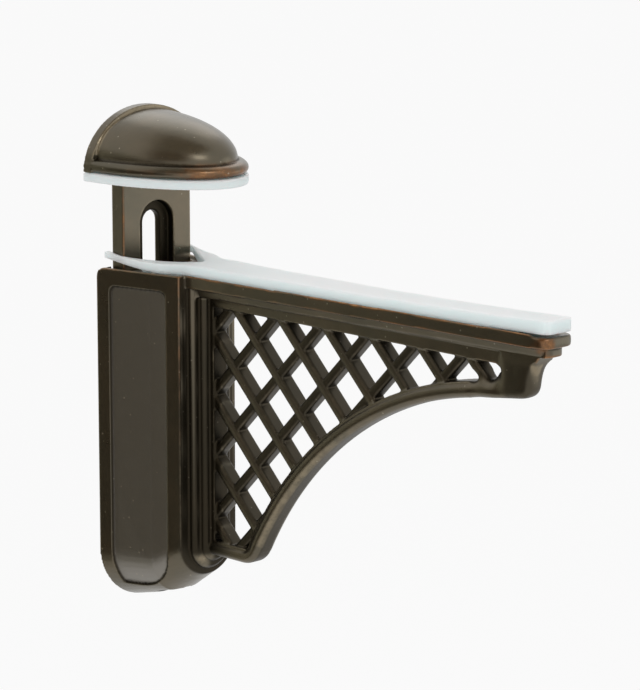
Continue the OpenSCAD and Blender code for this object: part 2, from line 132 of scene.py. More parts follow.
class Graph:
    """The node tree of a material, a world or a modifier, with one method that adds any node."""

    def __init__(self, tree: bpy.types.NodeTree) -> None:
        """Empties a tree and keeps it."""
        self.tree = tree
        self.tree.nodes.clear()

    @classmethod
    def of(cls, owner: Union[bpy.types.Material, bpy.types.World]) -> "Graph":
        """The emptied tree of a material or world."""
        owner.use_nodes = True
        return cls(owner.node_tree)

    def node(self, kind: str, settings: Optional[dict[str, Any]] = None, inputs: Optional[dict[Any, Any]] = None,
             output: Union[int, str] = 0) -> Field:
        """Adds a node, sets it up and links it.

        Args:
            kind: The node's type name.
            settings: Properties of the node, set before its sockets.
            inputs: Values or fields by socket name or number; a colour is red, green and blue.
            output: The output to give back, by name or number.

        Returns:
            The chosen output as a field, or the first input of a node that ends its tree.
        """
        made = self.tree.nodes.new(kind)
        for name, value in (settings or {}).items():
            setattr(made, name, value)
        for name, value in (inputs or {}).items():
            socket = made.inputs[name]
            if isinstance(value, Field):
                self.tree.links.new(value.socket, socket)
            elif socket.type == "RGBA":
                socket.default_value = (*value, 1.0)
            else:
                socket.default_value = value
        return Field(self, made.outputs[output] if len(made.outputs) else made.inputs[0])

    def mix(self, factor: Any, first: Any, second: Any) -> Field:
        """Mixes two colours; the factor is how much of the second."""
        settings = {"data_type": "RGBA", "blend_type": "MIX", "clamp_factor": True}
        return self.node("ShaderNodeMix", settings, {0: factor, 6: first, 7: second}, 2)

    def noise(self, place: Field, scale: float, detail: float, rough: float) -> Field:
        """Noise of about 0 to 1: waves per metre, octaves, and how much the finer ones count."""
        return self.node("ShaderNodeTexNoise", {"noise_dimensions": "3D"},
                         {"Vector": place, "Scale": scale, "Detail": detail, "Roughness": rough}, "Fac")

    def place(self) -> Field:
        """Object coordinates."""
        return self.node("ShaderNodeTexCoord", output="Object")

    def stored(self, name: str) -> Field:
        """A value stored on the mesh."""
        return self.node("ShaderNodeAttribute", {"attribute_name": name, "attribute_type": "GEOMETRY"}, output="Fac")

    def bump(self, height: Field, strength: float, distance: float) -> Field:
        """A normal that follows a height."""
        return self.node("ShaderNodeBump", inputs={"Strength": strength, "Distance": distance, "Height": height})

    def surface(self, inputs: dict[str, Any]) -> None:
        """Ends the tree in one Principled shader with these values and fields."""
        shader = self.node("ShaderNodeBsdfPrincipled", inputs=inputs)
        self.node("ShaderNodeOutputMaterial", inputs={"Surface": shader})


@dataclass(frozen=True)
class BronzeFinish:
    """Oil-rubbed dark bronze on a casting: satin brown, copper showing on worn edges, painted shade in hollows,
    painted highlights.
    """

    name: str = "oil_rubbed_bronze"
    deep: Colour = (0.110, 0.098, 0.072)
    warm: Colour = (0.135, 0.113, 0.080)
    # painted shade: the colour that darkens hollows, shaded zones and panel edges
    hollow: Colour = (0.016, 0.012, 0.006)
    bare: Colour = (0.220, 0.205, 0.180)
    copper: Colour = (0.50, 0.25, 0.10)
    rust: Colour = (0.20, 0.092, 0.040)
    # painted highlight: the colour that lightens edges and highlighted zones
    highlight_tone: Colour = (0.26, 0.215, 0.145)
    speck: Colour = (0.45, 0.40, 0.31)
    metallic: float = 0.94
    satin: float = 0.25
    cloud_scale: float = 95.0
    streak_scale: float = 420.0
    grain_scale: float = 2600.0
    fleck_scale: float = 420.0
    fleck_patch: float = 130.0
    relief: float = 0.25 * MM

    def material(self) -> bpy.types.Material:
        """Builds the material.

        Returns:
            The finished material.
        """
        made = bpy.data.materials.new(self.name)
        g = Graph.of(made)
        place = g.place()
        wear, line = g.stored("edge_wear"), g.stored("edge_highlight")
        shade_mask, panel = g.stored("hollow"), g.stored("panel")
        cloud = g.noise(place, self.cloud_scale, 4.0, 0.6)
        streak = g.noise(place, self.streak_scale, 3.0, 0.6)
        grain = g.noise(place, self.grain_scale, 2.0, 0.5)
        patch = g.noise(place, self.fleck_patch, 1.0, 0.5)
        bronze_colour = g.mix(cloud.over(0.30, 0.74), self.deep, self.warm)
        bronze_colour = g.mix(panel, bronze_colour, self.bare)
        # painted shade: darkens hollows, the shaded zones and the panel edges
        bronze_colour = g.mix(shade_mask.over(0.1, 0.9) * 0.9, bronze_colour, self.hollow)
        # painted highlight: lightens convex edge lines and the highlighted zones
        painted_highlight = line * (0.45 + streak.over(0.30, 0.70) * 0.55)
        bronze_colour = g.mix(painted_highlight.over(0.12, 0.8) * 0.8, bronze_colour, self.highlight_tone)
        rub = wear * (0.55 + streak.over(0.30, 0.66) * 0.45) * (0.6 + cloud.over(0.34, 0.60) * 0.4)
        bronze_colour = g.mix(rub.over(0.06, 0.45) * 0.75, bronze_colour, self.rust)
        bared = (rub * (0.5 + grain)).over(0.32, 0.85)
        bronze_colour = g.mix(bared * 0.75, bronze_colour, self.copper)
        dots = g.node("ShaderNodeTexVoronoi", {"feature": "F1", "distance": "EUCLIDEAN"},
                      {"Vector": place, "Scale": self.fleck_scale, "Randomness": 1.0}, "Distance")
        fleck = (1.0 - dots.over(0.05, 0.11)) * patch.over(0.36, 0.46) * (1.0 - shade_mask)
        bronze_colour = g.mix(fleck * 0.55, bronze_colour, self.speck)
        rough = self.satin + streak * 0.08 + fleck * 0.2 + panel * 0.10 + shade_mask * 0.22
        bump = g.bump(grain * 0.5 + streak * 0.5 - fleck * 0.4, 0.10, self.relief)
        g.surface({"Base Color": bronze_colour, "Roughness": rough, "Metallic": self.metallic, "Normal": bump})
        return made


@dataclass(frozen=True)
class SiliconeFinish:
    """Milky translucent silicone with a soft, slightly dusty skin, and a darker, bluer painted shade on its upright
    sides.
    """

    name: str = "milky_silicone"
    body: Colour = (0.855, 0.945, 0.93)
    pale: Colour = (0.90, 0.96, 0.945)
    # painted shade: the darker, bluer tone of the upright sides
    edge: Colour = (0.76, 0.945, 0.935)
    skin: float = 0.42
    cloud_scale: float = 60.0
    fine_scale: float = 1500.0
    relief: float = 0.2 * MM
    scatter: float = 0.9
    scatter_rgb: Colour = (0.85, 1.0, 1.0)
    scatter_depth: float = 4.0 * MM
    clear: float = 0.08
    ior: float = 1.41

    def material(self) -> bpy.types.Material:
        """Builds the material.

        Returns:
            The finished material.
        """
        made = bpy.data.materials.new(self.name)
        g = Graph.of(made)
        place = g.place()
        cloud = g.noise(place, self.cloud_scale, 3.0, 0.5)
        fine = g.noise(place, self.fine_scale, 2.0, 0.5)
        colour = g.mix(cloud.over(0.3, 0.7), self.body, self.pale)
        # painted shade: upright sides darker and bluer
        colour = g.mix(g.stored("side_shade") * (0.7 + cloud * 0.3), colour, self.edge)
        g.surface({"Base Color": colour, "Roughness": self.skin + cloud * 0.12,
                   "Normal": g.bump(fine, 0.05, self.relief), "Subsurface Weight": self.scatter,
                   "Subsurface Radius": self.scatter_rgb, "Subsurface Scale": self.scatter_depth,
                   "IOR": self.ior, "Transmission Weight": self.clear})
        return made


@dataclass(frozen=True)
class PlatedFinish:
    """Dull zinc plating on steel, with turning marks round the axis and handling smudges."""

    name: str = "dull_zinc_plating"
    bright: Colour = (0.47, 0.46, 0.43)
    dull: Colour = (0.30, 0.29, 0.27)
    satin: float = 0.34
    smudge_scale: float = 240.0
    ring_scale: float = 900.0
    relief: float = 0.1 * MM

    def material(self) -> bpy.types.Material:
        """Builds the material.

        Returns:
            The finished material.
        """
        made = bpy.data.materials.new(self.name)
        g = Graph.of(made)
        place = g.place()
        smudge = g.noise(place, self.smudge_scale, 4.0, 0.6)
        rings = g.node("ShaderNodeTexWave", {"wave_type": "BANDS", "bands_direction": "Z", "wave_profile": "SIN"},
                       {"Vector": place, "Scale": self.ring_scale, "Distortion": 2.0, "Detail": 2.0}, "Fac")
        colour = g.mix(smudge.over(0.35, 0.7), self.dull, self.bright)
        g.surface({"Base Color": colour, "Metallic": 1.0, "Roughness": self.satin + smudge * 0.2,
                   "Normal": g.bump(rings, 0.05, self.relief)})
        return made


class Shop:
    """Common steps of the pieces: meshes in and out, and the finished object."""

    @staticmethod
    def from_node(node: str) -> bmesh.types.BMesh:
        """A merged copy of a CAD node's mesh.

        Args:
            node: The node's name.

        Returns:
            The copy, for the caller to free.
        """
        made = bmesh.new()
        made.from_mesh(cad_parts[node].data)
        bmesh.ops.remove_doubles(made, verts=made.verts, dist=MERGE)
        return made

    @staticmethod
    def meshed(name: str, source: bmesh.types.BMesh) -> bpy.types.Mesh:
        """Turns shapes into a mesh.

        Args:
            name: The mesh's name.
            source: The shapes, freed here.

        Returns:
            The mesh.
        """
        mesh = bpy.data.meshes.new(name)
        source.to_mesh(mesh)
        source.free()
        return mesh

    @staticmethod
    def add(name: str, data: bpy.types.ID) -> bpy.types.Object:
        """Puts a mesh, lamp or camera in the scene at the origin.

        Args:
            name: The object's name.
            data: Its mesh, lamp or camera.

        Returns:
            The object.
        """
        obj = bpy.data.objects.new(name, data)
        bpy.context.scene.collection.objects.link(obj)
        return obj

    @staticmethod
    def discard(obj: bpy.types.Object) -> None:
        """Removes an object and its mesh."""
        mesh = obj.data
        bpy.data.objects.remove(obj)
        bpy.data.meshes.remove(mesh)

    @staticmethod
    def finished(obj: bpy.types.Object) -> bpy.types.Mesh:
        """Takes an object with modifiers to a plain mesh.

        Args:
            obj: The object, which is removed.

        Returns:
            The evaluated mesh.
        """
        graph = bpy.context.evaluated_depsgraph_get()
        mesh = bpy.data.meshes.new_from_object(obj.evaluated_get(graph), depsgraph=graph)
        Shop.discard(obj)
        return mesh

    @staticmethod
    def smooth(mesh: bpy.types.Mesh) -> bpy.types.Mesh:
        """Shades a mesh smooth and gives it back."""
        mesh.polygons.foreach_set("use_smooth", np.ones(len(mesh.polygons), bool))
        return mesh

    @staticmethod
    def softened(source: bmesh.types.BMesh, faces: bmesh.types.BMesh, voxel: float, passes: int) -> bpy.types.Mesh:
        """Joins closed shapes into one skin that lies on their faces and has soft edges.

        Args:
            source: The closed shapes, freed here.
            faces: The faces that show, freed here.
            voxel: Size of the skin's cells.
            passes: Smoothing passes.

        Returns:
            The skin, smooth shaded.
        """
        guide = Shop.add("guide", Shop.meshed("guide", faces))
        obj = Shop.add("rough", Shop.meshed("rough", source))
        skin = obj.modifiers.new("skin", "REMESH")
        skin.mode = "VOXEL"
        skin.voxel_size = voxel
        lay = obj.modifiers.new("lay", "SHRINKWRAP")
        lay.target = guide
        lay.wrap_method = "NEAREST_SURFACEPOINT"
        ease = obj.modifiers.new("ease", "SMOOTH")
        ease.factor = 0.5
        ease.iterations = passes
        made = Shop.finished(obj)
        Shop.discard(guide)
        return Shop.smooth(made)

    @staticmethod
    def thinned(mesh: bpy.types.Mesh, most: int) -> bpy.types.Mesh:
        """Takes triangles out of a skin where it is flat.

        Args:
            mesh: The skin, which is used up.
            most: The most triangles to keep.

        Returns:
            The skin with no more triangles than that.
        """
        mesh.calc_loop_triangles()
        count = len(mesh.loop_triangles)
        if count <= most:
            return mesh
        obj = Shop.add("thick", mesh)
        thin = obj.modifiers.new("thin", "DECIMATE")
        thin.ratio = most / count
        return Shop.smooth(Shop.finished(obj))

    @staticmethod
    def tube(into: bmesh.types.BMesh, rings: Sequence[list[bmesh.types.BMVert]]) -> None:
        """Joins closed rings of points into a tube with closed ends.

        Args:
            into: Where the tube's faces go.
            rings: The rings in order, with as many points each.
        """
        made = []
        for one, two in zip(rings, rings[1:]):
            for k in range(len(one)):
                n = (k + 1) % len(one)
                made.append(into.faces.new((one[k], one[n], two[n], two[k])))
        made += [into.faces.new(rings[0]), into.faces.new(rings[-1][::-1])]
        bmesh.ops.recalc_face_normals(into, faces=made)

    @staticmethod
    def rows(mesh: bpy.types.Mesh, what: str) -> np.ndarray:
        """The place ("co") or "normal" of each of a mesh's points, as rows."""
        flat = np.zeros(len(mesh.vertices) * 3, np.float32)
        mesh.vertices.foreach_get(what, flat)
        return flat.reshape(-1, 3).astype(float)

    @staticmethod
    def move(mesh: bpy.types.Mesh, co: np.ndarray) -> None:
        """Writes a mesh's points back."""
        mesh.vertices.foreach_set("co", co.astype(np.float32).ravel())
        mesh.update()

    @staticmethod
    def store(mesh: bpy.types.Mesh, label: str, values: np.ndarray) -> None:
        """Stores a value for each of a mesh's points."""
        mesh.attributes.new(label, "FLOAT", "POINT").data.foreach_set("value", values.astype(np.float32))

    @staticmethod
    def seat(obj: bpy.types.Object, body: Body, slot: Slot, material: bpy.types.Material, node: str) -> None:
        """Gives a piece its material and body, and hides the node that it stands for.

        Args:
            obj: The piece.
            body: The body that it rides on.
            slot: Its material slot; not used.
            material: Its material.
            node: The CAD node that it replaces.
        """
        obj.data.materials.clear()
        obj.data.materials.append(material)
        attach(obj, body.value)
        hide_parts(node)
        obj.data.calc_loop_triangles()
        LOG.info("%s: %d triangles on %s", obj.name, len(obj.data.loop_triangles), body.value)


class Neighbours:
    """The edges of a mesh, for means over each point's neighbours."""

    def __init__(self, mesh: bpy.types.Mesh) -> None:
        """Finds each point's neighbours.

        Args:
            mesh: The mesh.
        """
        ends = np.zeros(len(mesh.edges) * 2, np.int32)
        mesh.edges.foreach_get("vertices", ends)
        self.one, self.two = ends.reshape(-1, 2).T
        self.size = len(mesh.vertices)
        count = np.bincount(self.one, minlength=self.size) + np.bincount(self.two, minlength=self.size)
        self.count = np.maximum(count, 1)

    def mean(self, values: np.ndarray) -> np.ndarray:
        """The mean of each point's neighbours."""
        before = np.bincount(self.one, values[self.two], self.size)
        return (before + np.bincount(self.two, values[self.one], self.size)) / self.count

    def blurred(self, values: np.ndarray, times: int) -> np.ndarray:
        """Values drawn half way to their neighbours' mean, a number of times."""
        for _ in range(times):
            values = 0.5 * values + 0.5 * self.mean(values)
        return values

    def pull(self, co: np.ndarray) -> np.ndarray:
        """The way from each point to the middle of its neighbours."""
        return np.stack([self.mean(co[:, k]) - co[:, k] for k in range(3)], axis=1)

    def bend(self, co: np.ndarray, normal: np.ndarray) -> np.ndarray:
        """How sharply a skin bends at its points, per metre: above 0 on edges and below 0 in hollows."""
        spread = np.mean(np.linalg.norm(co[self.one] - co[self.two], axis=1))
        return -4.0 * np.einsum("ij,ij->i", self.pull(co), normal) / spread ** 2


@dataclass(frozen=True)
class WearAndPaintedLightZone:
    """A soft box on a casting, in millimetres, in which it is rubbed, bare or worn round, or gets painted shade or a
    painted highlight.
    """

    low: Point
    high: Point
    share: float
    fade: float = 4.0

    def at(self, co: np.ndarray) -> np.ndarray:
        """How much of the wear shows at each point."""
        inside = np.minimum(co - np.array(self.low) * MM, np.array(self.high) * MM - co).min(axis=1)
        return self.share * np.clip(1.0 + inside / (self.fade * MM), 0.0, 1.0)


Zones = tuple[WearAndPaintedLightZone, ...]


@dataclass
class Casting:
    """A bronze casting: the CAD node's form with cast, softly rounded edges and a record of where they wear and
    where shade and highlights are painted.

    wear_bend, line_bend and hollow_bend say at which share of edge_bend each begins, and over which it grows.
    """

    name: str
    node: str
    body: Body
    cell: float
    rubbed: Zones = ()
    # zones of painted shade
    shade_zones: Zones = ()
    bared: Zones = ()
    # zones of painted highlights
    highlighted: Zones = ()
    eased: Zones = ()
    line_loss: float = 0.0
    ease_passes: int = 90
    passes: int = 4
    bend_blur: int = 3
    stored_blur: int = 2
    edge_bend: float = 2400.0
    wear_bend: Span = (0.12, 0.6)
    line_bend: Span = (0.15, 0.6)
    hollow_bend: Span = (0.1, 0.7)
    least_wear: float = 0.1
    most: int = 190000

    def extras(self, into: bmesh.types.BMesh) -> None:
        """Adds finer forms over the node's faceted ones; the plain casting has none."""

    def covered(self, at: Vector) -> bool:
        """Whether a finer form covers a face of the node."""
        return False

    def shaped(self, co: np.ndarray) -> np.ndarray:
        """Moves points to a finer form; the plain casting stays as it is."""
        return co

    @staticmethod
    def within(zones: Zones, co: np.ndarray, least: Union[float, np.ndarray] = 0.0) -> np.ndarray:
        """How much the strongest of some zones shows at each point, with the least outside them."""
        return np.max([zone.at(co) for zone in zones] + [np.broadcast_to(least, len(co))], axis=0)

    def ease(self, mesh: bpy.types.Mesh) -> None:
        """Gives the skin its finer form, and rounds it more where it is worn round.

        Args:
            mesh: The casting's skin.
        """
        near = Neighbours(mesh)
        co = self.shaped(Shop.rows(mesh, "co"))
        if self.eased:
            share = 0.5 * self.within(self.eased, co)[:, None]
            for _ in range(self.ease_passes):
                co = co + share * near.pull(co)
        Shop.move(mesh, co)

    def painted_highlight(self, co: np.ndarray) -> np.ndarray:
        """Where highlights are painted."""
        return self.within(self.highlighted, co)

    def panel(self, co: np.ndarray) -> np.ndarray:
        """Where a sunk panel with a barer finish lies; the plain casting has none."""
        return np.zeros(len(co))

    def panel_edge_shade(self, co: np.ndarray) -> np.ndarray:
        """Where painted shade lies along a panel's edge; the plain casting has none."""
        return np.zeros(len(co))

    def bent(self, bend: np.ndarray, start: float, run: float) -> np.ndarray:
        """How far a bend has come between two shares of an edge's bend."""
        return ramp(bend, start * self.edge_bend, run * self.edge_bend)

    def store_wear_shade_highlight(self, mesh: bpy.types.Mesh) -> None:
        """Stores where the skin is rubbed and bare and where shade and highlights are painted, for the finish.

        Args:
            mesh: The casting's skin.
        """
        co = Shop.rows(mesh, "co")
        near = Neighbours(mesh)
        bend = near.blurred(near.bend(co, Shop.rows(mesh, "normal")), self.bend_blur)
        panel_edge_shade, highlighted, zone_shade = self.panel_edge_shade(co), self.painted_highlight(co), self.within(self.shade_zones, co)
        shown = self.within(self.rubbed, co, self.least_wear)
        wear = self.within(self.bared, co, shown * self.bent(bend, *self.wear_bend))
        # painted highlight along convex edges, weaker at panel edges and in the shaded zones
        line = (1.0 - panel_edge_shade) * self.bent(bend, *self.line_bend) * (1.0 - self.line_loss * zone_shade)
        # painted shade in the shaded zones, at panel edges and in concave creases, none where highlights are painted
        hollow = np.max([zone_shade, panel_edge_shade, self.bent(-bend, *self.hollow_bend)], axis=0) * (1.0 - highlighted)
        made = {"edge_wear": wear, "edge_highlight": np.maximum(line, highlighted), "hollow": hollow, "panel": self.panel(co)}
        for label, values in made.items():
            Shop.store(mesh, label, near.blurred(values, self.stored_blur))

    def build(self, finish: bpy.types.Material) -> None:
        """Builds and seats the casting.

        Args:
            finish: Its material.
        """
        source = Shop.from_node(self.node)
        faces = source.copy()
        hidden = [face for face in faces.faces if self.covered(face.calc_center_median())]
        bmesh.ops.delete(faces, geom=hidden, context="FACES")
        self.extras(source)
        self.extras(faces)
        mesh = Shop.softened(source, faces, self.cell, self.passes)
        self.ease(mesh)
        self.store_wear_shade_highlight(mesh)
        obj = Shop.add(self.name, Shop.thinned(mesh, self.most))
        Shop.seat(obj, self.body, Slot.BRONZE, finish, self.node)


@dataclass
class JawCasting(Casting):
    """The upper jaw, with a finely turned crown, groove and lip over the node's faceted ones."""

    name: str = "upper_jaw_cast"
    node: str = "upper_jaw"
    body: Body = Body.JAW
    cell: float = 0.26 * MM
    rubbed: Zones = (
        WearAndPaintedLightZone((14, -18, -4), (34, 18, 0.6), 0.8),  # end of the lip: copper wear, with a painted gold highlight
        WearAndPaintedLightZone((4, -12, -62), (7, -9, -4), 0.75),  # near edge of the stem
    )
    shade_zones: Zones = (
        WearAndPaintedLightZone((2.2, -5.2, -49), (5.2, 5.2, -10.5), 0.85, 0.3),  # painted shade in the slot
    )
    bared: Zones = (
        WearAndPaintedLightZone((26, -8, -3.2), (33, 5, -1.4), 0.52, 3.0),  # low spot on the lip's end: bare copper, with a painted reflection of the pad
    )
    highlighted: Zones = (
        WearAndPaintedLightZone((2.64, -18, 1.2), (3.3, 18, 12), 1.0, 0.25),  # painted highlight along the rim
        WearAndPaintedLightZone((26.5, -9.5, -1.5), (31.6, -2.5, -0.4), 0.8, 0.5),  # painted highlight along the lip
    )
    line_loss: float = 0.9
    half_w: float = 17.2 * MM
    reach: float = 31.5 * MM
    crown_h: float = 10.2 * MM
    inset: float = 1.7 * MM
    groove: float = 0.25 * MM
    lip_h: float = 3.0 * MM
    rim_t: float = 2.6 * MM
    skim: float = 0.02 * MM
    lip_steps: int = 16
    crown_steps: int = 48
    turn_steps: int = 240

    def covered(self, at: Vector) -> bool:
        """Whether a face belongs to the faceted crown or lip."""
        return at.x > self.rim_t + self.skim and at.z > self.skim - self.lip_h

    def profile(self) -> list[Span]:
        """Section of crown, groove and lip.

        Returns:
            Radius and height from the lip's underside to the crown's top.
        """
        crown_w = self.half_w - self.inset
        nose = 0.5 * self.lip_h
        made = [(0.0, -self.lip_h)]
        for i in range(self.lip_steps + 1):
            turn = math.radians(-90 + 180 * i / self.lip_steps)
            made.append((self.half_w - nose + nose * math.cos(turn), -nose + nose * math.sin(turn)))
        made += [(crown_w - self.groove, 0.0), (crown_w - self.groove, self.groove)]
        for i in range(self.crown_steps + 1):
            turn = math.radians(90 * i / self.crown_steps)
            made.append((crown_w * math.cos(turn), self.groove + (self.crown_h - self.groove) * math.sin(turn)))
        return made

    def extras(self, into: bmesh.types.BMesh) -> None:
        """Adds the finely turned crown.

        Args:
            into: The casting's shapes.
        """
        turned = bmesh.new()
        line = self.profile()
        rings = []
        for i in range(self.turn_steps):
            turn = 2 * math.pi * i / self.turn_steps
            rings.append([turned.verts.new((r * math.cos(turn) * self.reach / self.half_w, r * math.sin(turn), z))
                          for r, z in line])
        for first, second in zip(rings, rings[1:] + rings[:1]):
            for k in range(len(line) - 1):
                turned.faces.new((first[k], second[k], second[k + 1], first[k + 1]))
        bmesh.ops.remove_doubles(turned, verts=turned.verts, dist=MERGE)
        cut = bmesh.ops.bisect_plane(turned, geom=turned.verts[:] + turned.edges[:] + turned.faces[:],
                                     plane_co=(0, 0, 0), plane_no=(1, 0, 0), clear_inner=True)
        rim = [e for e in cut["geom_cut"] if isinstance(e, bmesh.types.BMEdge)]
        bmesh.ops.contextual_create(turned, geom=rim)
        bmesh.ops.recalc_face_normals(turned, faces=turned.faces)
        mesh = Shop.meshed("crown", turned)
        into.from_mesh(mesh)
        bpy.data.meshes.remove(mesh)


@dataclass
class ArmCasting(Casting):
    """The lattice arm, with a finely bent roll along its arch over the node's faceted one, and a sloped second band.

    panel_floor, border_in and border_out say at which depth in millimetres each begins, and over which it changes.
    """

    name: str = "lattice_arm_cast"
    node: str = "lattice_arm"
    body: Body = Body.ARM
    cell: float = 0.29 * MM
    rubbed: Zones = (
        WearAndPaintedLightZone((24, -9, -27), (132, 9, -22), 0.75, 1.5),  # top edges of the arm
        WearAndPaintedLightZone((121, -9, -28.5), (132, 9, -22), 1.0, 3.0),  # tip of the bands
        WearAndPaintedLightZone((112, -9, -42), (132, 9, -30), 0.45, 3.0),  # nose of the tip block
        WearAndPaintedLightZone((16, -14, -60), (23, 14, -24), 0.5),  # front corners of the column
        WearAndPaintedLightZone((0, -14, -28), (22, 14, -24.5), 0.5, 1.5),  # top of the column
    )
    shade_zones: Zones = (
        WearAndPaintedLightZone((22.3, -9.4, -110), (28.4, 9.4, -31), 0.78, 0.6),  # painted shade on the steps of the mouldings
        WearAndPaintedLightZone((29, -1.7, -106), (122, 1.7, -31), 0.6, 0.3),  # painted shade on the sides of the lattice's openings
        WearAndPaintedLightZone((117, -3, -40), (126, 3, -32), 0.5, 2.0),  # painted shade on the sides of the tip block
    )
    bared: Zones = (
        WearAndPaintedLightZone((126.5, -6.2, -27.8), (131, -2.4, -25), 0.55, 1.4),  # spot on the bands' tip
    )
    highlighted: Zones = (
        WearAndPaintedLightZone((124.0, -2.7, -41), (130.2, -0.2, -31.5), 1.0, 0.8),  # painted highlight on the near side of the nose
        WearAndPaintedLightZone((24, -7.5, -97), (30, -2, -91), 0.7, 1.5),  # painted highlight on the lower ends of the mouldings
    )
    eased: Zones = (
        WearAndPaintedLightZone((116, -4, -42), (130, 4, -32), 0.9, 1.5),  # tip block
        WearAndPaintedLightZone((126, -6, -26.6), (131, 6, -22), 0.6, 0.6),  # tip of the first band
        WearAndPaintedLightZone((108, -4, -42), (116, 4, -36.5), 0.8, 2.0),  # upper end of the roll
        WearAndPaintedLightZone((20.6, -9, -112), (24, 9, -97), 0.9, 1.2),  # front of the bowl
        WearAndPaintedLightZone((8, -6, -112), (22, 6, -101.6), 0.9, 1.2),  # underside of the bowl
    )
    line_loss: float = 0.6
    arch_x: float = 120.0 * MM
    arch_z: float = -128.8 * MM
    arch_mid: float = 90.65 * MM
    roll_w: float = 3.3 * MM
    roll_t: float = 5.8 * MM
    first: float = 94.5
    last: float = 151.0
    proud: float = 0.03 * MM
    end_steps: int = 12
    bend_steps: int = 150
    column_w: float = 13.79 * MM
    column_slope: float = 0.2309
    spring_z: float = -90.8 * MM
    bowl_x: float = 13.8 * MM
    bowl_slope: float = 0.4419
    panel_x: Span = (3.0 * MM, 19.2 * MM)
    panel_top: float = -28.5 * MM
    panel_most: float = 1.1
    panel_floor: Span = (0.32, 0.2)
    border_in: Span = (0.06, 0.1)
    border_out: Span = (0.56, 0.08)
    band_x: float = 22.4 * MM
    band_z: float = -28.1 * MM
    band_rise: float = 0.0093
    second_x: float = 2.0 * MM
    second_h: float = 2.1 * MM
    second_past: float = 1.08
    second_slope: float = 0.8 * MM
    web_half: float = 2.5 * MM
    # a painted highlight stripe along both lower edges of the roll's foot
    roll_highlight_share: float = 0.85
    roll_highlight_from: float = 108.0
    roll_highlight_fade: float = 26.0
    roll_highlight_off: float = -1.05 * MM
    roll_highlight_run: float = 0.7 * MM
    roll_highlight_side: float = 0.25

    def covered(self, at: Vector) -> bool:
        """Whether a face lies in the faceted roll.

        Args:
            at: The face's middle.

        Returns:
            True inside the finely bent roll.
        """
        off = math.hypot(at.x - self.arch_x, at.z - self.arch_z) - self.arch_mid
        turn = math.degrees(math.atan2(at.z - self.arch_z, at.x - self.arch_x))
        across = max(abs(at.y) - 0.5 * (self.roll_t - self.roll_w), 0.0)
        inside = math.hypot(off, across) < 0.5 * self.roll_w + self.proud
        return inside and self.first < turn < self.last

    def shaped(self, co: np.ndarray) -> np.ndarray:
        """Slopes the second band's sides in towards its lower edge.

        Args:
            co: Points.

        Returns:
            The points with sloped sides.
        """
        x, y, z = co.T
        out = np.abs(y) - self.web_half
        down = (self.band_z + self.band_rise * (x - self.band_x) - z) / self.second_h
        sloped = (x > self.band_x + self.second_x) & (down > 0.0) & (down < self.second_past) & (out > 0.0)
        shift = np.where(sloped, self.second_slope * np.clip(down, 0.0, 1.0), 0.0)
        moved = co.copy()
        moved[:, 1] = y - np.sign(y) * np.minimum(shift, np.maximum(out, 0.0))
        return moved

    def painted_highlight(self, co: np.ndarray) -> np.ndarray:
        """Where highlights are painted: in zones, and along both lower edges of the roll's foot.

        Args:
            co: Points.

        Returns:
            A value for each point.
        """
        x, y, z = co.T
        off = np.hypot(x - self.arch_x, z - self.arch_z) - self.arch_mid
        turn = np.degrees(np.arctan2(z - self.arch_z, x - self.arch_x))
        along = ramp(turn, self.roll_highlight_from, self.roll_highlight_fade) * (turn < self.last)
        across = np.exp(-((off - self.roll_highlight_off) / self.roll_highlight_run) ** 2) * (np.abs(y) > self.roll_highlight_side * self.roll_t)
        return np.maximum(super().painted_highlight(co), self.roll_highlight_share * along * across)

    def sunk(self, co: np.ndarray) -> np.ndarray:
        """How deep points lie below the column's sides, near their panels.

        Args:
            co: Points.

        Returns:
            Depths in millimetres, and 0 away from the panels.
        """
        x, y, z = co.T
        spring = self.spring_z + self.bowl_slope * np.maximum(x - self.bowl_x, 0.0)
        out = np.where(z < spring, np.hypot(y, z - spring), np.abs(y))
        deep = (self.column_w - self.column_slope * x - out) / MM
        rear, front = self.panel_x
        inside = (x > rear) & (x < front) & (z < self.panel_top) & (deep < self.panel_most)
        return np.where(inside, deep, 0.0)

    def panel(self, co: np.ndarray) -> np.ndarray:
        """Where the floors of the sunk panels lie."""
        return ramp(self.sunk(co), *self.panel_floor)

    def panel_edge_shade(self, co: np.ndarray) -> np.ndarray:
        """Where painted shade lies along the edges of the sunk panels."""
        deep = self.sunk(co)
        end, run = self.border_out
        return ramp(deep, *self.border_in) * ramp(-deep, -end, run)

    def extras(self, into: bmesh.types.BMesh) -> None:
        """Adds the finely bent roll.

        Args:
            into: The casting's shapes.
        """
        half = 0.5 * self.roll_w + self.proud
        flat = 0.5 * (self.roll_t - self.roll_w)
        section = []
        for side, start in ((1, -90), (-1, 90)):
            for i in range(self.end_steps + 1):
                turn = math.radians(start + 180 * i / self.end_steps)
                section.append((half * math.sin(turn), side * flat + half * math.cos(turn)))
        rings = []
        for i in range(self.bend_steps + 1):
            turn = math.radians(self.first + (self.last - self.first) * i / self.bend_steps)
            rings.append([into.verts.new((self.arch_x + (self.arch_mid + r) * math.cos(turn), y,
                                          self.arch_z + (self.arch_mid + r) * math.sin(turn))) for r, y in section])
        Shop.tube(into, rings)


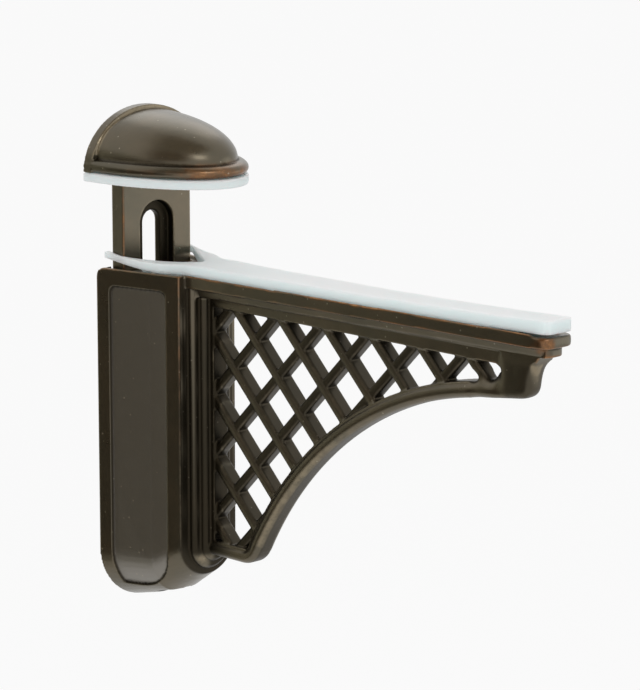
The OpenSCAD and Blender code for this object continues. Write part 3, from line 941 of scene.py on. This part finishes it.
@dataclass
class SiliconePad:
    """A silicone pad: the node's form with soft edges, bent as it lies."""

    name: str
    node: str
    body: Body
    lie: Optional[Callable[[np.ndarray], np.ndarray]] = None
    cell: float = 0.33 * MM
    passes: int = 4

    def build(self, finish: bpy.types.Material) -> None:
        """Builds and seats the pad.

        Args:
            finish: Its material.
        """
        source = Shop.from_node(self.node)
        mesh = Shop.softened(source, source.copy(), self.cell, self.passes)
        # where the painted shade of the upright sides goes
        Shop.store(mesh, "side_shade", 1.0 - np.abs(Shop.rows(mesh, "normal")[:, 2]))
        if self.lie is not None:
            Shop.move(mesh, self.lie(Shop.rows(mesh, "co")))
        obj = Shop.add(self.name, mesh)
        Shop.seat(obj, self.body, Slot.SILICONE, finish, self.node)


@dataclass(frozen=True)
class PadLie:
    """How the lower pad lies: its near rear corner is thin and has come up, and its tip stands out of the bed."""

    corner_lift: float = 2.6 * MM
    far_lift: float = 2.0 * MM
    corner_run: float = 18.0 * MM
    corner_slide: float = 1.6 * MM
    side_lift: float = 0.8 * MM
    side_run: float = 40.0 * MM
    thin: float = 0.56
    thin_run: float = 26.0 * MM
    under_z: float = -25.9 * MM
    tip_lift: float = 0.9 * MM
    tip_bend: float = 1.7
    tip_slide: float = 0.6 * MM
    tip_x: float = 75.0 * MM
    reach: float = 129.3 * MM
    half_w: float = 12.6 * MM

    def __call__(self, co: np.ndarray) -> np.ndarray:
        """Thins, lifts and slides the pad's points.

        Args:
            co: The points as the pad lies flat.

        Returns:
            The points as it lies in use.
        """
        x, y, z = co.T
        near = soft(ramp(-y, -0.5 * self.half_w, 1.5 * self.half_w))
        rear = (1.0 - ramp(x, 0.0, self.corner_run)) ** 2
        side = soft(1.0 - ramp(x, 0.0, self.side_run))
        thin = self.thin * (1.0 - ramp(x, 0.0, self.thin_run))
        tip = ramp(x, self.tip_x, self.reach - self.tip_x) ** self.tip_bend
        moved = co.copy()
        moved[:, 2] -= thin * np.maximum(z - self.under_z, 0.0)
        moved[:, 2] += (self.far_lift + (self.corner_lift - self.far_lift) * near) * rear
        moved[:, 2] += self.side_lift * side + self.tip_lift * tip
        moved[:, 0] += self.tip_slide * ramp(x, 0.0, self.reach) - self.corner_slide * near * rear
        return moved


@dataclass
class ClampScrew:
    """The socket screw: knurled head with a hexagon socket, and a rolled thread on its shank.

    knurl_tall and knurl_r are shares of the head's height and radius.
    """

    axis_x: float = 12.0 * MM
    under_head: float = -83.9 * MM
    shank: float = 50.0 * MM
    shank_short: float = 0.2 * MM
    crest: float = 2.98 * MM
    root: float = 2.45 * MM
    pitch: float = 1.0 * MM
    plain_turns: float = 2.0
    head_r: float = 4.9 * MM
    head_h: float = 5.0 * MM
    head_edge: float = 0.3 * MM
    chamfer: float = 0.45 * MM
    socket_w: float = 5.0 * MM
    socket_depth: float = 3.0 * MM
    socket_edge: float = 0.35 * MM
    ridges: int = 40
    knurl_tall: float = 0.72
    knurl_r: float = 0.035
    knurl_sides: int = 6
    head_steps: int = 48
    turn_steps: int = 28
    thread_sides: int = 4
    core_sides: int = 40

    def head(self) -> bpy.types.Mesh:
        """The head with its hexagon socket, hanging below zero.

        Returns:
            A closed mesh.
        """
        made = bmesh.new()

        def ring(radius: float, z: float, six: bool = False) -> list[bmesh.types.BMVert]:
            """A ring of points, round or with six sides at that radius."""
            points = []
            for i in range(self.head_steps):
                turn = 2 * math.pi * i / self.head_steps
                r = radius / math.cos(turn % (math.pi / 3) - math.pi / 6) if six else radius
                points.append(made.verts.new((r * math.cos(turn), r * math.sin(turn), z)))
            return points

        low, flat = -self.head_h, 0.5 * self.socket_w
        Shop.tube(made, [
            ring(self.root, 0.0), ring(self.head_r - self.head_edge, 0.0), ring(self.head_r, -self.head_edge),
            ring(self.head_r, low + self.chamfer), ring(self.head_r - self.chamfer, low),
            ring(flat + self.socket_edge, low, True), ring(flat, low + self.socket_edge, True),
            ring(flat, low + self.socket_depth, True),
        ])
        return Shop.meshed("screw_head", made)

    def tree(self, inputs: dict[str, Any]) -> bpy.types.NodeTree:
        """The tree that winds the thread and sets the knurl on the head.

        Args:
            inputs: Its named inputs with their values.

        Returns:
            The Geometry Nodes tree.
        """
        tree = bpy.data.node_groups.new("clamp_screw_thread", "GeometryNodeTree")
        face = tree.interface
        kinds = {float: "NodeSocketFloat", int: "NodeSocketInt", bpy.types.Material: "NodeSocketMaterial"}
        face.new_socket("Geometry", in_out="INPUT", socket_type="NodeSocketGeometry")
        for label, value in inputs.items():
            face.new_socket(label, in_out="INPUT", socket_type=kinds[type(value)])
        face.new_socket("Geometry", in_out="OUTPUT", socket_type="NodeSocketGeometry")
        g = Graph(tree)
        given = {socket.name: Field(g, socket) for socket in tree.nodes.new("NodeGroupInput").outputs}
        length, pitch, root = given["Shank Length"], given["Thread Pitch"], given["Root Radius"]
        head_r, head_h = given["Head Radius"], given["Head Height"]

        def raised(shape: Field, height: Field) -> Field:
            """A shape moved along the axis."""
            up = g.node("ShaderNodeCombineXYZ", inputs={"Z": height})
            return g.node("GeometryNodeTransform", inputs={"Geometry": shape, "Translation": up})

        def rod(sides: int, radius: Field, tall: Field) -> Field:
            """A closed rod about the axis."""
            return g.node("GeometryNodeMeshCylinder", {"fill_type": "NGON"},
                          {"Vertices": sides, "Radius": radius, "Depth": tall}, "Mesh")

        wound = length - pitch * self.plain_turns
        spiral = g.node("GeometryNodeCurveSpiral", inputs={
            "Resolution": self.turn_steps, "Rotations": wound / pitch, "Start Radius": root, "End Radius": root,
            "Height": wound})
        ridge = g.node("GeometryNodeCurvePrimitiveCircle", {"mode": "RADIUS"},
                       {"Resolution": self.thread_sides, "Radius": given["Crest Radius"] - root})
        thread = g.node("GeometryNodeCurveToMesh", inputs={
            "Curve": raised(spiral, pitch), "Profile Curve": ridge, "Fill Caps": True})
        core = raised(rod(self.core_sides, root, length), length * 0.5)
        circle = g.node("GeometryNodeMeshCircle", {"fill_type": "NONE"},
                        {"Vertices": given["Ridges"], "Radius": head_r})
        bar = rod(self.knurl_sides, head_r * self.knurl_r, head_h * self.knurl_tall)
        knurl = g.node("GeometryNodeInstanceOnPoints", inputs={
            "Points": raised(circle, head_h * -0.5), "Instance": bar})
        joined = tree.nodes.new("GeometryNodeJoinGeometry")
        for part in (given["Geometry"], thread, core, knurl):
            tree.links.new(part.socket, joined.inputs[0])
        real = g.node("GeometryNodeRealizeInstances", inputs={"Geometry": Field(g, joined.outputs[0])})
        dressed = g.node("GeometryNodeSetMaterial", inputs={"Geometry": real, "Material": given["Material"]})
        g.node("NodeGroupOutput", inputs={0: dressed})
        return tree

    def build(self, finish: bpy.types.Material) -> None:
        """Builds and seats the screw.

        Args:
            finish: Its material.
        """
        obj = Shop.add("rough_screw", self.head())
        wind = obj.modifiers.new("thread", "NODES")
        inputs = {"Shank Length": self.shank - self.shank_short, "Thread Pitch": self.pitch,
                  "Crest Radius": self.crest, "Root Radius": self.root, "Head Radius": self.head_r,
                  "Head Height": self.head_h, "Ridges": self.ridges, "Material": finish}
        wind.node_group = self.tree(inputs)
        for item in wind.node_group.interface.items_tree:
            if item.in_out == "INPUT" and item.name in inputs:
                wind[item.identifier] = inputs[item.name]
        mesh = Shop.finished(obj)
        Shop.move(mesh, Shop.rows(mesh, "co") + np.array([self.axis_x, 0.0, self.under_head]))
        piece = Shop.add("clamp_screw_threaded", mesh)
        Shop.seat(piece, Body.SCREW, Slot.STEEL, finish, "clamp_screw")


@dataclass(frozen=True)
class Card:
    """A matt square card that only metal mirrors: its direction and distance from the bracket, and half its side."""

    name: str
    way: Point
    away: float
    half: float
    tone: Colour


@dataclass(frozen=True)
class Lamp:
    """A soft square lamp: its place, side and power in watts, and whether metal mirrors it."""

    name: str
    place: Point
    side: float
    power: float
    mirrored: bool = True


@dataclass
class Studio:
    """Pale floor, white surroundings, cards, soft lamps and the camera at the photograph's angle."""

    white: float = 0.94
    ambient: float = 0.74
    glow: float = 0.985
    glow_share: float = 0.9
    floor_tone: float = 0.85
    floor_half: float = 12.0
    floor_z: float = -0.45
    eye: Point = (0.5838, -0.5085, 0.1116)
    back: Point = (0.7037, -0.6821, 0.1989)
    lens: float = 177.4
    aim: Point = (0.05, 0.0, -0.045)
    cards: tuple[Card, ...] = (
        Card("side_flag", (-0.27, -0.94, -0.22), 0.36, 0.16, (0.14, 0.11, 0.07)),
        Card("rear_flag", (-0.72, -0.66, -0.24), 0.52, 0.36, (0.58, 0.57, 0.47)),
        Card("high_flag", (0.20, -0.80, 0.56), 0.60, 0.24, (0.34, 0.26, 0.18)),
        Card("over_flag", (0.05, -0.15, 0.98), 0.60, 0.26, (0.48, 0.42, 0.33)),
    )
    lamps: tuple[Lamp, ...] = (
        Lamp("key", (0.82, -0.37, 0.66), 0.4, 1.3),
        Lamp("back", (-0.55, 0.58, 0.62), 0.6, 0.9),
        Lamp("side", (0.68, 0.85, -0.05), 0.7, 0.9),
        Lamp("fill", (0.40, -0.90, 0.05), 0.6, 1.6, False),
    )

    @staticmethod
    def seen(g: Graph) -> Field:
        """1 for rays that show the background: straight, mirrored or through clear parts."""
        straight, mirrored, through = [g.node("ShaderNodeLightPath", output=name)
                                       for name in ("Is Camera Ray", "Is Glossy Ray", "Is Transmission Ray")]
        return straight.most(mirrored).most(through)

    def surroundings(self) -> None:
        """White round the object for what the camera and metal see, dimmer as a light."""
        world = bpy.data.worlds.new("white_surroundings")
        bpy.context.scene.world = world
        g = Graph.of(world)
        shown = g.node("ShaderNodeBackground", inputs={"Color": (self.white,) * 3, "Strength": 1.0})
        light = g.node("ShaderNodeBackground", inputs={"Color": (1.0, 1.0, 1.0), "Strength": self.ambient})
        both = g.node("ShaderNodeMixShader", inputs={0: self.seen(g), 1: light, 2: shown})
        g.node("ShaderNodeOutputWorld", inputs={"Surface": both})

    def floor(self) -> None:
        """A wide pale floor that keeps some of the object's shadow."""
        made = bmesh.new()
        bmesh.ops.create_grid(made, x_segments=2, y_segments=2, size=self.floor_half)
        bmesh.ops.translate(made, verts=made.verts, vec=(0, 0, self.floor_z))
        floor = Shop.add("pale_floor", Shop.meshed("pale_floor", made))
        material = bpy.data.materials.new("pale_floor")
        g = Graph.of(material)
        matt = g.node("ShaderNodeBsdfDiffuse", inputs={"Color": (self.floor_tone,) * 3})
        glow = g.node("ShaderNodeEmission", inputs={"Color": (self.glow,) * 3, "Strength": 1.0})
        both = g.node("ShaderNodeMixShader", inputs={0: self.seen(g) * self.glow_share, 1: matt, 2: glow})
        g.node("ShaderNodeOutputMaterial", inputs={"Surface": both})
        floor.data.materials.append(material)

    def stand(self, given: Card) -> None:
        """Stands a card beside the bracket.

        Args:
            given: The card.
        """
        toward = Vector(given.way).normalized()
        made = bmesh.new()
        bmesh.ops.create_grid(made, x_segments=1, y_segments=1, size=given.half)
        turn = toward.to_track_quat("Z", "Y").to_matrix().to_4x4()
        bmesh.ops.transform(made, matrix=turn, verts=made.verts)
        bmesh.ops.translate(made, verts=made.verts, vec=Vector(self.aim) + given.away * toward)
        card = Shop.add(given.name, Shop.meshed(given.name, made))
        material = bpy.data.materials.new(given.name)
        g = Graph.of(material)
        matt = g.node("ShaderNodeBsdfDiffuse", inputs={"Color": given.tone})
        g.node("ShaderNodeOutputMaterial", inputs={"Surface": matt})
        card.data.materials.append(material)
        card.visible_camera = False
        card.visible_diffuse = False
        card.visible_shadow = False

    def light(self, given: Lamp) -> None:
        """Points a lamp at the bracket.

        Args:
            given: The lamp.
        """
        data = bpy.data.lights.new(given.name, "AREA")
        data.shape = "SQUARE"
        data.size = given.side
        data.energy = given.power
        lamp = Shop.add(given.name, data)
        lamp.location = given.place
        lamp.visible_glossy = given.mirrored
        lamp.rotation_euler = (Vector(self.aim) - Vector(given.place)).to_track_quat("-Z", "Y").to_euler()

    def camera(self) -> None:
        """Sets the camera."""
        data = bpy.data.cameras.new("camera")
        data.lens = self.lens
        data.sensor_width = 36.0
        data.clip_start = 0.01
        camera = Shop.add("camera", data)
        camera.location = self.eye
        camera.rotation_euler = (-Vector(self.back)).to_track_quat("-Z", "Y").to_euler()
        bpy.context.scene.camera = camera

    def build(self) -> None:
        """Builds the studio."""
        self.surroundings()
        self.floor()
        for card in self.cards:
            self.stand(card)
        for lamp in self.lamps:
            self.light(lamp)
        self.camera()
        bpy.context.scene.view_settings.view_transform = "Standard"


def main() -> None:
    """Builds the bracket's pieces and the studio."""
    logging.basicConfig(level=logging.INFO, format="%(message)s")
    bronze = BronzeFinish().material()
    silicone = SiliconeFinish().material()
    plating = PlatedFinish().material()
    JawCasting().build(bronze)
    ArmCasting().build(bronze)
    SiliconePad("upper_pad_soft", "upper_pad", Body.JAW).build(silicone)
    SiliconePad("lower_pad_soft", "lower_pad", Body.ARM, PadLie()).build(silicone)
    ClampScrew().build(plating)
    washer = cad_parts["clamp_washer"]
    washer.data.materials.clear()
    washer.data.materials.append(plating)
    LOG.info("clamp_washer: the node with plating")
    Studio().build()


if __name__ == "__main__":
    main()
